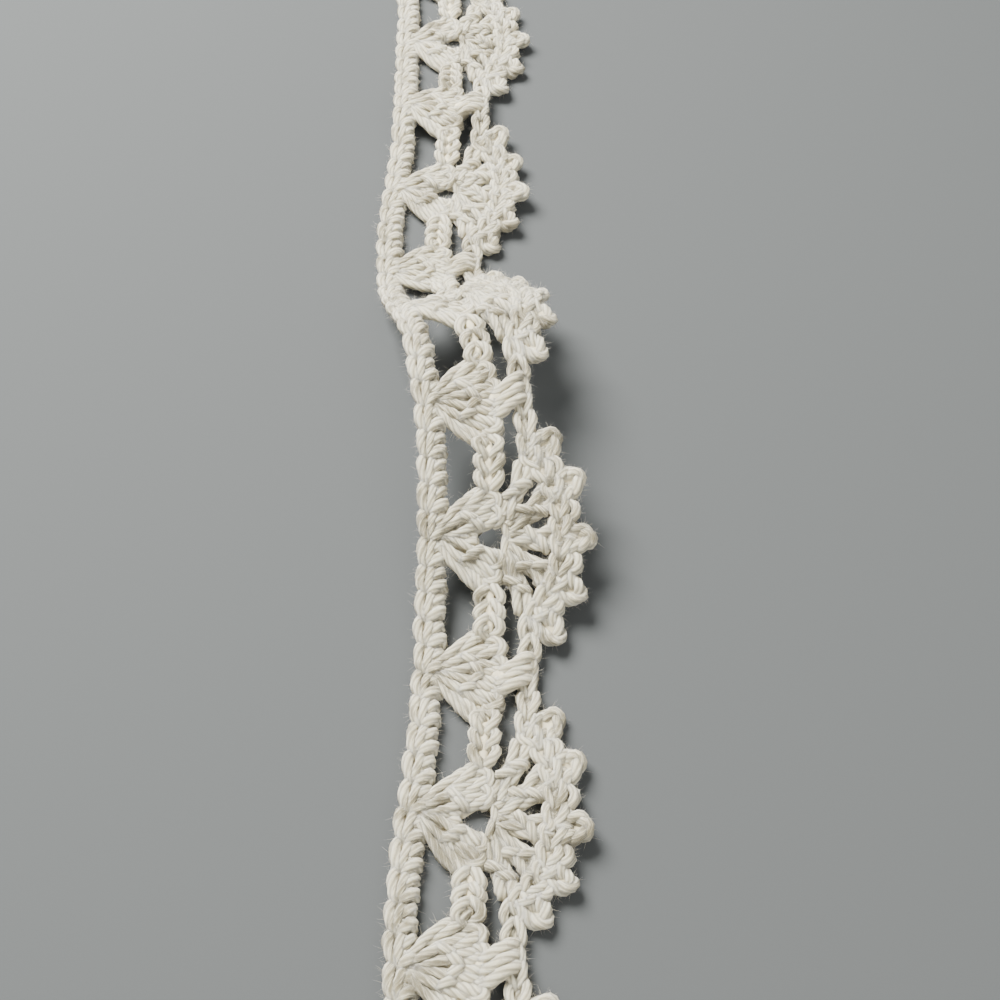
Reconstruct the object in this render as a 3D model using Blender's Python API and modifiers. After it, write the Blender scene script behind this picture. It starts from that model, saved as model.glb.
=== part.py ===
"""Crocheted cotton lace trim: a cut length, laid on a flat surface.

The trim is one piece of work in one yarn, so it is one solid. It is charted flat first, in the
trim's own measures: along (on the heading), across (from the heading's free edge towards the
picots) and height (above the surface). Each stitch or short run of stitches is one fat rod. The
rods are then laid along the route, melted into one skin, and given a flat underside.

World axes: +Y runs along the trim, the heading lies on the -X side, the fans on the +X side.
"""

import bisect
import math

import bmesh
import bpy
from mathutils import Vector

MM = 0.001

# Driving sizes of the trim
REPEAT = 50.0 * MM          # one fan and one plain shell along the heading
FIRST_FAN = -2              # number of the nearest fan; fan 0 is at along = 0
LAST_FAN = 3
WIDTH = 32.0 * MM           # heading's free edge to the tip of the middle picot
FLOOR_SINK = 0.42 * MM      # how far a rod's round belly is pressed flat on the surface

# Rod radii: a stitch is two or three strands of 1.33 mm yarn side by side
EDGE_R = 1.30 * MM          # chain edge of the heading
LEG_R = 1.20 * MM           # slanted legs of the heading's single crochets
POST_FOOT_R = 0.95 * MM     # one double crochet post of a shell, at the heading
POST_TOP_R = 1.50 * MM      # and at its top
TOP_R = 1.50 * MM           # chained tops of a shell's posts
BAR_R = 2.00 * MM           # chain bar between two shells
RAY_R = 1.15 * MM           # one of the two posts in a fan's ray
RIM_R = 1.60 * MM           # rim row on top of the rays
PICOT_R = 1.60 * MM         # picot loop
TIE_R = 1.45 * MM           # chain that ties a fan to the plain shells
KNOT_R = 2.20 * MM          # single crochet that ties it down

# Heading
HEADING_LEGS = 20           # in one repeat, two for each single crochet
HEADING_END = 9.0 * MM      # heading beyond the middle of the last plain shell
EDGE_ACROSS = 1.30 * MM
LEG_ACROSS = (2.00 * MM, 4.30 * MM)
LEG_HEIGHT = (1.75 * MM, 1.05 * MM)
LEG_SLANT = 0.95 * MM       # half of a leg's run along the heading
SHELL_FOOT = 4.80 * MM      # where the posts of a shell grow out of the heading
FOOT_SPREAD = 0.70 * MM     # their spacing there

# Posts of one half of a shell, mirrored about the shell's middle. Columns: along, across at the top
FAN_SHELL = ((3.3 * MM, 14.4 * MM), (6.4 * MM, 13.9 * MM), (9.4 * MM, 12.4 * MM))
PLAIN_SHELL = ((1.6 * MM, 15.3 * MM), (5.0 * MM, 14.6 * MM), (8.4 * MM, 12.6 * MM))
FAN_BOW = 0.9 * MM          # how far the two inner posts of a fan's shell bow together
BAR_ACROSS = 13.1 * MM
BAR_STITCHES = 3
CHAIN_BEAD = 0.22           # where a chain stitch's bead starts and ends, in its pitch
CHAIN_CORE = 0.60           # radius between two beads, in the beads' own

# Fan: rays grow out of the chain space on the middle of its shell
# Columns: along, across at the ray's foot, along, across at its top
RAYS = ((0.0 * MM, 16.5 * MM, 0.0 * MM, 25.0 * MM),
        (1.2 * MM, 16.2 * MM, 7.6 * MM, 23.6 * MM),
        (2.3 * MM, 15.6 * MM, 13.6 * MM, 19.2 * MM))
RAY_SPLIT = 0.85 * MM       # half the distance between a ray's two posts
RAY_PINCH = 0.5             # share of it that is left at the foot
# Rim row, from the fan's middle outwards. Columns: along, across
RIM = ((0.0 * MM, 25.4 * MM), (4.2 * MM, 25.1 * MM), (8.0 * MM, 24.0 * MM),
       (11.8 * MM, 21.8 * MM), (14.4 * MM, 20.0 * MM))
# Picots. Columns: along, across at the root, along, across at the tip's outer edge
PICOTS = ((0.0 * MM, 26.4 * MM, 0.0 * MM, 32.0 * MM),
          (7.6 * MM, 24.8 * MM, 11.2 * MM, 29.6 * MM),
          (13.0 * MM, 21.6 * MM, 18.9 * MM, 25.4 * MM))
PICOT_HALF = 1.45 * MM      # half the distance between the two limbs of a picot
PICOT_NECK = 1.20           # where the limbs start to close to the crown, in picot radii below it
PICOT_CROWN = 0.55          # half the crown's width, in halves of the picot's
# Chain that ties the rim to the plain shell's knot. Columns: along, across
TIE = ((14.0 * MM, 20.0 * MM), (17.8 * MM, 20.2 * MM), (21.4 * MM, 20.2 * MM), (25.0 * MM, 19.6 * MM))
KNOT_ACROSS = 19.4 * MM

# Route of the heading's free edge, seen from above, before the shift. Columns: along Y, across X
SWAY = ((-134.0 * MM, -16.0 * MM), (-105.0 * MM, -15.0 * MM), (-80.0 * MM, -17.5 * MM),
        (-62.0 * MM, -18.0 * MM), (-40.0 * MM, -16.0 * MM), (-15.0 * MM, -15.0 * MM),
        (15.0 * MM, -15.2 * MM), (36.0 * MM, -18.0 * MM), (52.0 * MM, -22.5 * MM),
        (66.0 * MM, -25.8 * MM), (84.0 * MM, -26.2 * MM), (110.0 * MM, -24.6 * MM),
        (145.0 * MM, -25.0 * MM), (180.0 * MM, -26.5 * MM))
# Rises of the trim off the surface. Columns: near foot, crest and far foot along Y, height
FOLDS = ((-27.0 * MM, 36.0 * MM, 66.0 * MM, 15.0 * MM),
         (-112.0 * MM, -95.0 * MM, -78.0 * MM, 2.4 * MM),
         (100.0 * MM, 116.0 * MM, 133.0 * MM, 2.0 * MM))
# How far each fan's tip curls up, or hangs down where it is negative. Columns: fan, lift
CURLS = ((-2, 1.2 * MM), (-1, 2.0 * MM), (0, 1.6 * MM), (1, -3.0 * MM), (2, 2.6 * MM), (3, 1.0 * MM))
CURL_FROM = 15.0 * MM       # across from which a fan curls
CURL_HALF = 24.0 * MM       # half the length of heading over which it does
SHIFT = Vector((4.7 * MM, -22.3 * MM, 0.0))  # puts the middle of the trim at the origin

# Mesh
ROUTE_STEP = 1.0 * MM
ROUTE_SPARE = 20.0 * MM     # straight route beyond each end of the sway table
ROD_STEP = 1.6 * MM
END_REACH = 0.75            # a rod's rounded end, in its radii
END_SHARE = 0.62            # and how thin it is there
VOXEL = 0.52 * MM
TRIANGLES = 11400
FLAT_BELOW = 0.22 * MM      # what ends lower than this after thinning lies on the surface
COLOUR = (0.855, 0.850, 0.815, 1.0)
NAME = "crochet_trim"


def clear_objects():
    for item in list(bpy.data.objects):
        bpy.data.objects.remove(item, do_unlink=True)


def smooth_through(rows, at):
    """Value at a place on the smooth curve through the rows of a two-column table."""
    places = [row[0] for row in rows]
    i = min(max(bisect.bisect_right(places, at) - 1, 0), len(rows) - 2)
    (x0, y0), (x1, y1) = rows[i], rows[i + 1]
    before = rows[max(i - 1, 0)]
    after = rows[min(i + 2, len(rows) - 1)]
    slope0 = (y1 - before[1]) / (x1 - before[0])
    slope1 = (after[1] - y0) / (after[0] - x0)
    span = x1 - x0
    part = (at - x0) / span
    return (y0 * (1 + 2 * part) * (1 - part) ** 2 + y1 * part ** 2 * (3 - 2 * part)
            + span * part * (1 - part) * (slope0 * (1 - part) - slope1 * part))


def rise_at(y):
    """Height of the route over the surface."""
    height = 0.0
    for near, crest, far, top in FOLDS:
        if near < y < far:
            part = (y - near) / (crest - near) if y < crest else (far - y) / (far - crest)
            height += top * (1 - math.cos(math.pi * part)) / 2
    return height


def make_route():
    """Points of the heading's free edge with the length of trim up to each, 0 at Y = 0."""
    first = round((SWAY[0][0] - ROUTE_SPARE) / ROUTE_STEP)
    last = round((SWAY[-1][0] + ROUTE_SPARE) / ROUTE_STEP)
    points = []
    for i in range(first, last + 1):
        y = i * ROUTE_STEP
        points.append(Vector((smooth_through(SWAY, min(max(y, SWAY[0][0]), SWAY[-1][0])), y, rise_at(y))))
    lengths = [0.0]
    for a, b in zip(points, points[1:]):
        lengths.append(lengths[-1] + (b - a).length)
    start = lengths[-first]
    return points, [length - start for length in lengths]


def curl_at(along, across):
    """Lift of a fan's free end."""
    lift = 0.0
    reach = max(across - CURL_FROM, 0.0) / (WIDTH - CURL_FROM)
    for fan, top in CURLS:
        away = abs(along - fan * REPEAT) / CURL_HALF
        if away < 1.0:
            lift += top * reach ** 2 * (1 + math.cos(math.pi * away)) / 2
    return lift


def lay(flat, points, lengths):
    """World place of a charted point (along, across, height)."""
    i = min(max(bisect.bisect_right(lengths, flat.x) - 1, 1), len(points) - 3)
    part = (flat.x - lengths[i]) / (lengths[i + 1] - lengths[i])
    place = points[i].lerp(points[i + 1], part)
    ahead = (points[i + 1] - points[i - 1]).lerp(points[i + 2] - points[i], part).normalized()
    right = Vector((ahead.y, -ahead.x, 0.0)).normalized()
    up = right.cross(ahead)
    return place + right * flat.y + up * (flat.z + curl_at(flat.x, flat.y)) + SHIFT


def rod(places, radius, end_radius=None, heights=None):
    """A charted rod in short steps: (place, radius) for each. Its belly is pressed a little flat."""
    last = len(places) - 1
    growth = (end_radius or radius) - radius
    radii = [radius + growth * i / last for i in range(last + 1)]
    heights = heights or [r - FLOOR_SINK for r in radii]
    corners = [Vector((*place, height, r)) for place, height, r in zip(places, heights, radii)]
    steps = [corners[0]]
    for a, b in zip(corners, corners[1:]):
        count = math.ceil((b - a).length / ROD_STEP)
        steps += [a.lerp(b, (i + 1) / count) for i in range(count)]
    return [(step.to_3d(), step.w) for step in steps]


def heading():
    """Chain edge and slanted legs of the single crochets, all along the trim."""
    start = (FIRST_FAN - 0.5) * REPEAT - HEADING_END
    end = (LAST_FAN + 0.5) * REPEAT + HEADING_END
    rods = [rod([(start, EDGE_ACROSS), (end, EDGE_ACROSS)], EDGE_R)]
    count = round((end - start) / (REPEAT / HEADING_LEGS))
    pitch = (end - start) / count
    for i in range(count):
        along = start + (i + 0.5) * pitch
        leg = [(along - LEG_SLANT, LEG_ACROSS[0]), (along + LEG_SLANT, LEG_ACROSS[1])]
        rods.append(rod(leg, LEG_R, heights=LEG_HEIGHT))
    return rods


def shell(middle, posts, bow=0.0):
    """Double crochets that spread from one stitch of the heading, with their chained tops."""
    rods = []
    for side in (-1, 1):
        tops = []
        for i, (along, across) in enumerate(posts):
            foot = (middle + side * FOOT_SPREAD * (i + 0.5), SHELL_FOOT)
            top = (middle + side * along, across)
            inwards = side * bow if i == 0 else 0.0
            waist = ((foot[0] + top[0]) / 2 - inwards, (foot[1] + top[1]) / 2)
            rods.append(rod([foot, waist, top], POST_FOOT_R, POST_TOP_R))
            tops.append(top)
        rods.append(rod(tops, TOP_R))
    return rods


def chain_run(start, end, stitches, radius):
    """A short run of chain stitches: one bead of yarn after another."""
    rods = []
    for i in range(stitches):
        a = [p + (q - p) * (i + CHAIN_BEAD) / stitches for p, q in zip(start, end)]
        b = [p + (q - p) * (i + 1 - CHAIN_BEAD) / stitches for p, q in zip(start, end)]
        rods.append(rod([a, b], radius))
    rods.append(rod([start, end], radius * CHAIN_CORE))
    return rods


def fan(middle):
    """Rays in pairs of posts, the rim row, and the picots."""
    rods = []
    for side in (-1, 1):
        for foot_along, foot_across, top_along, top_across in RAYS:
            foot = Vector((middle + side * foot_along, foot_across))
            top = Vector((middle + side * top_along, top_across))
            off = (top - foot).orthogonal().normalized() * RAY_SPLIT
            for hand in (-1, 1):
                rods.append(rod([foot + off * hand * RAY_PINCH, top + off * hand], RAY_R))
        rods.append(rod([(middle + side * along, across) for along, across in RIM], RIM_R))
        for root_along, root_across, tip_along, tip_across in PICOTS:
            rods.append(picot(middle, side, (root_along, root_across), (tip_along, tip_across)))
        rods += tie(middle, side)
    return rods


def picot(middle, side, root, tip):
    """One loop of chain that stands out from the rim."""
    root = Vector((middle + side * root[0], root[1]))
    tip = Vector((middle + side * tip[0], tip[1]))
    out = (tip - root).normalized()
    off = Vector((out.y, -out.x)) * PICOT_HALF
    crown = tip - out * PICOT_R
    neck = crown - out * PICOT_NECK * PICOT_R
    near = [root - off, neck - off, crown - off * PICOT_CROWN]
    far = [crown + off * PICOT_CROWN, neck + off, root + off]
    return rod(near + far, PICOT_R)


def tie(middle, side):
    """Chain from the rim to the knot on the next plain shell."""
    rods = []
    for (a0, c0), (a1, c1) in zip(TIE, TIE[1:]):
        rods += chain_run((middle + side * a0, c0), (middle + side * a1, c1), 1, TIE_R)
    return rods


def chart():
    """Every rod of the trim, laid out flat."""
    rods = heading()
    for number in range(FIRST_FAN, LAST_FAN + 1):
        middle = number * REPEAT
        rods += shell(middle, FAN_SHELL, FAN_BOW)
        rods += fan(middle)
        for side in (-1, 1):
            start = (middle + side * FAN_SHELL[-1][0], BAR_ACROSS)
            end = (middle + side * (REPEAT / 2 - PLAIN_SHELL[-1][0]), BAR_ACROSS)
            rods += chain_run(start, end, BAR_STITCHES, BAR_R)
    for number in range(FIRST_FAN, LAST_FAN + 2):
        middle = (number - 0.5) * REPEAT
        rods += shell(middle, PLAIN_SHELL)
        rods.append(rod([(middle, PLAIN_SHELL[0][1]), (middle, KNOT_ACROSS)], KNOT_R))
    return rods


def round_end(end, inner):
    """One more step beyond a rod's end, thinner, which rounds it off."""
    out = (end[0] - inner[0]).normalized()
    return end[0] + out * END_REACH * end[1], END_SHARE * end[1]


def rods_to_mesh(rods):
    """One bevelled curve with a spline for each rod, made a mesh with closed ends."""
    data = bpy.data.curves.new("rods", "CURVE")
    data.dimensions = "3D"
    data.bevel_depth = 1.0
    data.bevel_resolution = 2
    data.use_fill_caps = True
    for steps in rods:
        rounded = [round_end(steps[0], steps[1])] + steps + [round_end(steps[-1], steps[-2])]
        spline = data.splines.new("POLY")
        spline.points.add(len(rounded) - 1)
        for point, (place, radius) in zip(spline.points, rounded):
            point.co = (*place, 1.0)
            point.radius = radius
    curve = bpy.data.objects.new("rods", data)
    bpy.context.scene.collection.objects.link(curve)
    mesh = bpy.data.meshes.new_from_object(curve.evaluated_get(bpy.context.evaluated_depsgraph_get()))
    bpy.data.objects.remove(curve, do_unlink=True)
    work = bmesh.new()
    work.from_mesh(mesh)
    bmesh.ops.remove_doubles(work, verts=work.verts, dist=1e-6)
    bmesh.ops.recalc_face_normals(work, faces=work.faces)
    work.to_mesh(mesh)
    work.free()
    return mesh


def applied(item, kind, **settings):
    """Adds one modifier and makes its result the object's mesh."""
    modifier = item.modifiers.new(kind.title(), kind)
    for key, value in settings.items():
        setattr(modifier, key, value)
    mesh = bpy.data.meshes.new_from_object(item.evaluated_get(bpy.context.evaluated_depsgraph_get()))
    item.modifiers.clear()
    item.data = mesh


def keep_outer_skin(work):
    """Deletes the inner skins of closed pockets, and any crumb: only the longest skin stays."""
    left = set(work.verts)
    skins = []
    while left:
        start = left.pop()
        skin, edge = {start}, [start]
        while edge:
            vert = edge.pop()
            for link in vert.link_edges:
                other = link.other_vert(vert)
                if other in left:
                    left.discard(other)
                    skin.add(other)
                    edge.append(other)
        skins.append(skin)
    skins.sort(key=lambda skin: max(v.co.y for v in skin) - min(v.co.y for v in skin))
    for skin in skins[:-1]:
        bmesh.ops.delete(work, geom=list(skin), context="VERTS")


def press_flat(item, below):
    """Sets all that ends lower than a height down on the surface."""
    work = bmesh.new()
    work.from_mesh(item.data)
    keep_outer_skin(work)
    for vert in work.verts:
        if vert.co.z < below:
            vert.co.z = 0.0
    work.to_mesh(item.data)
    work.free()


def cotton_yarn():
    material = bpy.data.materials.new("cotton_yarn")
    material.use_nodes = True
    shader = material.node_tree.nodes["Principled BSDF"]
    shader.inputs["Base Color"].default_value = COLOUR
    shader.inputs["Roughness"].default_value = 0.9
    shader.inputs["Metallic"].default_value = 0.0
    return material


def main():
    clear_objects()
    points, lengths = make_route()
    mesh = rods_to_mesh(chart())
    for vert in mesh.vertices:
        vert.co = lay(vert.co.copy(), points, lengths)
    trim = bpy.data.objects.new(NAME, mesh)
    group = bpy.data.collections.new("lace_trim")
    bpy.context.scene.collection.children.link(group)
    group.objects.link(trim)
    applied(trim, "REMESH", mode="VOXEL", voxel_size=VOXEL)
    press_flat(trim, 0.0)
    applied(trim, "TRIANGULATE")
    applied(trim, "DECIMATE", ratio=TRIANGLES / len(trim.data.polygons))
    press_flat(trim, FLAT_BELOW)
    trim.data.shade_smooth()
    trim.data.materials.clear()
    trim.data.materials.append(cotton_yarn())


main()
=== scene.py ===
"""Crocheted cotton lace trim, dressed at the level of its yarn.

Every piece is charted flat in the trim's own measures: along (on the heading), across (from the
heading's free edge towards the picots) and height (above the surface). A short list of strands
gives one repeat, and one tree of geometry nodes repeats it, lays it along the trim's route and
spins the plied yarn round it.
"""

import bisect
import math

import bmesh
import bpy
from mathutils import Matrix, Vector


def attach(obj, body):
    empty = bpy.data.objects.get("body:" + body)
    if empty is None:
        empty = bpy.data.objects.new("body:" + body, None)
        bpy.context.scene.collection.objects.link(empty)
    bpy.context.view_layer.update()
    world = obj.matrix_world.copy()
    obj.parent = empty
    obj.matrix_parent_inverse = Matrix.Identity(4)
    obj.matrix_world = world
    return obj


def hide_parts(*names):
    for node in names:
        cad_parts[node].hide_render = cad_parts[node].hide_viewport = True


bl_info = {
    "name": "Crocheted Lace Trim",
    "version": (1, 0, 0),
    "blender": (4, 5, 0),
    "location": "View3D > Sidebar > Lace Trim",
    "description": "Builds a crocheted cotton lace trim strand by strand on its packed frame",
    "category": "Add Mesh",
}

MM = 0.001
NODE = "crochet_trim"
BODY = "root"

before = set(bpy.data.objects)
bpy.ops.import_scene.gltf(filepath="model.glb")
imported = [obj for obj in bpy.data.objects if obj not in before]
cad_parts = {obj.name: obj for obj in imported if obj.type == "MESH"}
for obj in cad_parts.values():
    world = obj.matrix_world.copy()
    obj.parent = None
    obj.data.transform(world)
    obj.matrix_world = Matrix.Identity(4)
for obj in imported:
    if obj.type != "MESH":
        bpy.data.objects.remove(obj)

# Chart of the trim, after the frame's
REPEAT = 50.0 * MM          # one fan and one plain shell
FIRST_FAN = -2              # number of the nearest fan; fan 0 is at along = 0
LAST_FAN = 3
FANS = LAST_FAN - FIRST_FAN + 1
WIDTH = 32.0 * MM           # heading's free edge to the tip of the middle picot
HEADING_END = 9.0 * MM      # heading beyond the middle of the last plain shell
FIRST_SHELL = (FIRST_FAN - 0.5) * REPEAT  # along, middle of the first plain shell
LENGTH = FANS * REPEAT + 2 * HEADING_END
# Tops of one half of a shell's posts, mirrored about its middle. Columns: along, across
FAN_SHELL = ((4.3 * MM, 14.2 * MM), (6.8 * MM, 13.8 * MM), (9.4 * MM, 12.4 * MM))
PLAIN_SHELL = ((1.6 * MM, 15.3 * MM), (5.0 * MM, 14.6 * MM), (8.4 * MM, 12.6 * MM))
FAN_BOW = 0.9 * MM          # how far the two inner posts of a fan's shell bow together
BAR_ACROSS = 13.1 * MM
# Rays of half a fan. Columns: along, across at the foot, along, across at the top, and half the
# distance between the ray's two posts at the top
RAYS = ((0.0 * MM, 16.6 * MM, 0.0 * MM, 25.2 * MM, 1.00 * MM),
        (1.8 * MM, 16.5 * MM, 7.7 * MM, 23.7 * MM, 1.00 * MM),
        (3.6 * MM, 15.9 * MM, 12.6 * MM, 19.4 * MM, 0.60 * MM))
# Rim row, from the fan's middle outwards. Columns: along, across
RIM = ((0.0 * MM, 25.6 * MM), (4.6 * MM, 25.5 * MM), (8.4 * MM, 24.3 * MM),
       (12.2 * MM, 22.2 * MM), (14.8 * MM, 20.2 * MM))
# Picots of half a fan. Columns: along, across at the root, along, across at the tip
PICOTS = ((0.0 * MM, 26.4 * MM, 0.0 * MM, 32.0 * MM),
          (7.6 * MM, 24.8 * MM, 11.2 * MM, 29.6 * MM),
          (13.0 * MM, 21.6 * MM, 18.9 * MM, 25.4 * MM))
# Loops of the rim row that show between the picots. Columns: along, across at the root, at the crown
NOTCHES = ((3.9 * MM, 25.4 * MM, 4.9 * MM, 27.8 * MM),
           (10.2 * MM, 23.0 * MM, 12.4 * MM, 24.7 * MM))
# Chain that ties the rim to the plain shell's knot. Columns: along, across
TIE = ((13.8 * MM, 20.0 * MM), (17.8 * MM, 20.2 * MM), (21.4 * MM, 20.2 * MM), (25.4 * MM, 19.6 * MM))

# Route of the heading's free edge, the same as the frame's. Columns: along Y, across X
SWAY = ((-134.0 * MM, -16.0 * MM), (-105.0 * MM, -15.0 * MM), (-80.0 * MM, -17.5 * MM),
        (-62.0 * MM, -18.0 * MM), (-40.0 * MM, -16.0 * MM), (-15.0 * MM, -15.0 * MM),
        (15.0 * MM, -15.2 * MM), (36.0 * MM, -18.0 * MM), (52.0 * MM, -22.5 * MM),
        (66.0 * MM, -25.8 * MM), (84.0 * MM, -26.2 * MM), (110.0 * MM, -24.6 * MM),
        (145.0 * MM, -25.0 * MM), (180.0 * MM, -26.5 * MM))
# Rises off the surface. Columns: near foot, crest and far foot along Y, height
FOLDS = ((-27.0 * MM, 36.0 * MM, 66.0 * MM, 15.0 * MM),
         (-112.0 * MM, -95.0 * MM, -78.0 * MM, 2.4 * MM),
         (100.0 * MM, 116.0 * MM, 133.0 * MM, 2.0 * MM))
# How far each fan's tip curls up, or down where it is negative. Columns: fan, lift
CURLS = ((-2, 1.2 * MM), (-1, 2.0 * MM), (0, 1.6 * MM), (1, -3.0 * MM), (2, 2.6 * MM), (3, 1.0 * MM))
CURL_FROM = 15.0 * MM       # across, where the curl begins
CURL_HALF = 24.0 * MM       # along, how far it reaches to both sides of a fan's middle
SHIFT = Vector((4.7 * MM, -22.3 * MM, 0.0))  # from the route's table to the frame
ROUTE_STEP = 1.0 * MM       # spacing of the route's points
ROUTE_SPARE = 20.0 * MM     # route beyond both ends of its table

# Stitches
HEADING_PITCH = 5.0 * MM    # one single crochet of the heading
SHELL_FOOT = 3.8 * MM       # a shell's posts come out from under the heading's legs
FOOT_SPREAD = 0.75 * MM     # their spacing there
FOOT_RISE = 0.5 * MM        # their feet lie higher than the rest, over the heading
SHELL_TURN = 0.5            # radians between the windings of two posts side by side
SHELL_WRAPS = (0.62, 0.54)  # where yarn-overs cross the inner two posts, as parts of their length
CHAIN_SPACE = 16.5 * MM     # chain on the middle of the fan's shell, that the rays are worked over
SPACE_SAG = 0.6 * MM        # the ends of that chain lie lower than its middle
BAR_LAP = 0.6 * MM          # how far a bar reaches into a shell
RAY_FOOT = 0.45 * MM        # half the distance between a ray's two posts at the foot
RAY_RISE = 0.6 * MM         # their feet lie higher, over the chain
RAY_TURN = 0.9              # radians by which its two posts' windings start ahead and behind
RAY_WRAPS = (0.45, 0.65)    # where yarn-overs cross its two posts, as parts of their length
LOOP_INSET = 0.8 * MM       # the loops on a ray begin before its end
POST_MIDDLE = 1.40 * MM     # height of a post's middle
POST_TURNS = 0.6            # turns of a post's two strands round each other
POST_SPREAD = (0.32, 0.54)  # their distance from its middle at the foot and the top, in yarns
POST_FLAT = 0.8             # the winding is lower than it is wide
POST_STEPS = 6              # points of its strands
POST_TUCK = 0.7 * MM        # height of a post's end, tucked under the row above it
POST_FAT = (1.08, 1.44)     # its strands are pulled tight at the foot and swell at the top
LOOP_FAT = 1.25             # thickness in yarns, as in every name that ends in FAT
WRAP_FAT = 1.3
# Post in the middle of a fan's shell, that ends under the hole. Columns: along, across
CORE = ((0.0 * MM, SHELL_FOOT), (0.0 * MM, 10.2 * MM))
CHAIN_STEP = 0.25 * MM      # spacing of the points that a chain's path is read from
# Runs of chain. Columns: stitches, width, height of the middle, thickness in yarns
BAR_CHAIN = (3, 4.4 * MM, 2.05 * MM, 1.36)
SPACE_CHAIN = (2, 1.6 * MM, 1.0 * MM, 1.0)
RIM_CHAIN = (10, 3.3 * MM, 1.6 * MM, 1.25)
TIE_CHAIN = (3, 3.1 * MM, 1.45 * MM, 1.2)
# Front limbs of one chain stitch. Columns: along in stitches, aside in widths, height in yarns
CHAIN_LIMB = ((-0.10, 0.08, -0.50), (0.08, 0.17, 0.20), (0.45, 0.36, 0.50),
              (0.85, 0.46, 0.40), (1.15, 0.30, 0.00), (1.30, 0.10, -0.50))
# Strand along a chain's back. Columns: along in stitches, aside in widths, height in yarns
CHAIN_BACK = ((0.0, 0.06, -0.50), (0.5, -0.06, -0.42))
# Strands of one stitch of the heading: its two chained limbs, the two strands of its first leg,
# the two of its second and the one on its back, in mm. Columns: along, across, height, thickness
HEADING = (
    ((-1.0, 2.7, 0.9, 0.9), (0.1, 1.6, 1.8, 1.2), (1.9, 0.9, 2.0, 1.4), (4.2, 0.9, 1.9, 1.35),
     (5.6, 1.9, 1.2, 1.0)),
    ((-0.8, 1.7, 1.0, 0.9), (0.7, 2.1, 2.0, 1.15), (2.4, 2.5, 2.3, 1.2), (4.2, 2.9, 2.0, 1.15),
     (5.4, 3.7, 1.1, 0.9)),
    ((-0.7, 2.2, 1.1, 0.9), (0.1, 3.1, 2.2, 1.45), (1.1, 4.2, 2.0, 1.6), (1.5, 4.75, 1.2, 1.3),
     (1.0, 3.6, 0.8, 0.9)),
    ((0.9, 2.4, 1.0, 0.9), (1.2, 3.2, 1.8, 1.4), (0.7, 4.2, 1.7, 1.5), (0.5, 4.75, 1.1, 1.3),
     (0.3, 3.6, 0.8, 0.9)),
    ((1.9, 2.6, 1.2, 0.9), (2.6, 3.4, 2.0, 1.25), (3.6, 4.2, 1.8, 1.4), (4.0, 4.6, 1.2, 1.2),
     (3.4, 3.5, 0.8, 0.9)),
    ((3.4, 2.8, 1.0, 0.9), (3.6, 3.4, 1.8, 1.2), (3.2, 4.2, 1.6, 1.3), (3.0, 4.6, 1.1, 1.1),
     (2.9, 3.5, 0.8, 0.9)),
    ((0.0, 1.0, 0.75, 1.0), (2.5, 1.5, 0.75, 1.0), (5.0, 1.0, 0.75, 1.0)))
# Loops on the top of a double crochet, in mm. Columns: along the row, outwards, height
TOP_LOOP = ((-1.5, -1.3, 1.1), (-1.35, 0.0, 1.9), (0.0, 0.8, 2.15), (1.35, 0.0, 1.9), (1.5, -1.3, 1.1))
UNDER_LOOP = ((-1.5, -0.8, 0.9), (0.0, 1.2, 1.0), (1.5, -0.8, 0.9))
# Yarn-over that crosses a post, in yarns from the post's middle. Columns: aside, ahead, height in mm
WRAP = ((-0.85, -0.6, 0.7), (-0.55, -0.42, 2.2), (0.55, 0.42, 2.2), (0.85, 0.6, 0.7))
# Strands of the knot on a plain shell, in mm. Columns: along, across, height
KNOT = ((-1.5, 14.8, 1.0), (-1.1, 16.0, 2.5), (0.0, 17.9, 3.1), (1.1, 19.8, 2.6), (1.5, 20.9, 1.1))
KNOT_STEP = 1.9 * MM        # spacing of its three strands
KNOT_FAT = 1.5
PICOT_HALF = 1.35 * MM      # half the distance between a picot's two sides
PICOT_TURNS = 2.2           # turns of its two strands round each other
PICOT_MIDDLE = 1.5 * MM     # their height
PICOT_FAT = 1.35
TWINE_STEPS = 14            # points of wound strands
TWINE_SPREAD = 0.36         # distance of wound strands from their middle, in yarns
# One side of a picot from its root to its crown. Columns: before the tip, aside in halves
PICOT_SIDE = ((1.05 * MM, 0.38), (1.6 * MM, 0.82), (2.6 * MM, 1.08), (3.6 * MM, 1.20))
PICOT_ROOT = 1.80           # and aside at the root
# Strand that closes a picot's root. Columns: part of the way to the tip, height in mm, thickness
PICOT_HEART = ((-0.15, 1.0, 1.2), (0.10, 1.9, 1.6), (0.30, 1.6, 1.3), (0.45, 0.9, 0.9))

# Yarn and fuzz
STRAND_STEP = 0.57 * MM     # spacing of the rings that a strand's skin is made of
PLY_POINTS = 3.0            # points of the yarn's profile for each ply
COARSE_STRAY = 130.0        # scales of the noises, in features for each metre, down to LUMP_SCALE
FINE_STRAY = 520.0
SLUB_SCALE = 210.0
TWIST_SCALE = 150.0
LUMP_SCALE = 560.0
FINE_SHARE = 0.4            # the fine stray, as a share of the coarse one
TWIST_SHARE = 0.5           # turns by which loose twist strays
FIBRE_THICKNESS = 0.04 * MM  # at its root
FIBRE_LEAN = 1.3            # how far a fibre may lean off the skin's normal
FIBRE_SIZES = (0.4, 1.25)   # shortest and longest, in fibre lengths
LEAN_SEED = 11              # seeds of the fibres' lean and size
SIZE_SEED = 3
BACK_INSET = 0.85 * MM      # how far the backs of the stitches lie inside the yarn
SAME_PLACE = 1e-6           # points nearer than this are one point
# Features of the fibre streaks across the yarn's radius, twice, and along each metre of yarn
STREAKS = (3.4, 3.4, 380.0)
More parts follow.
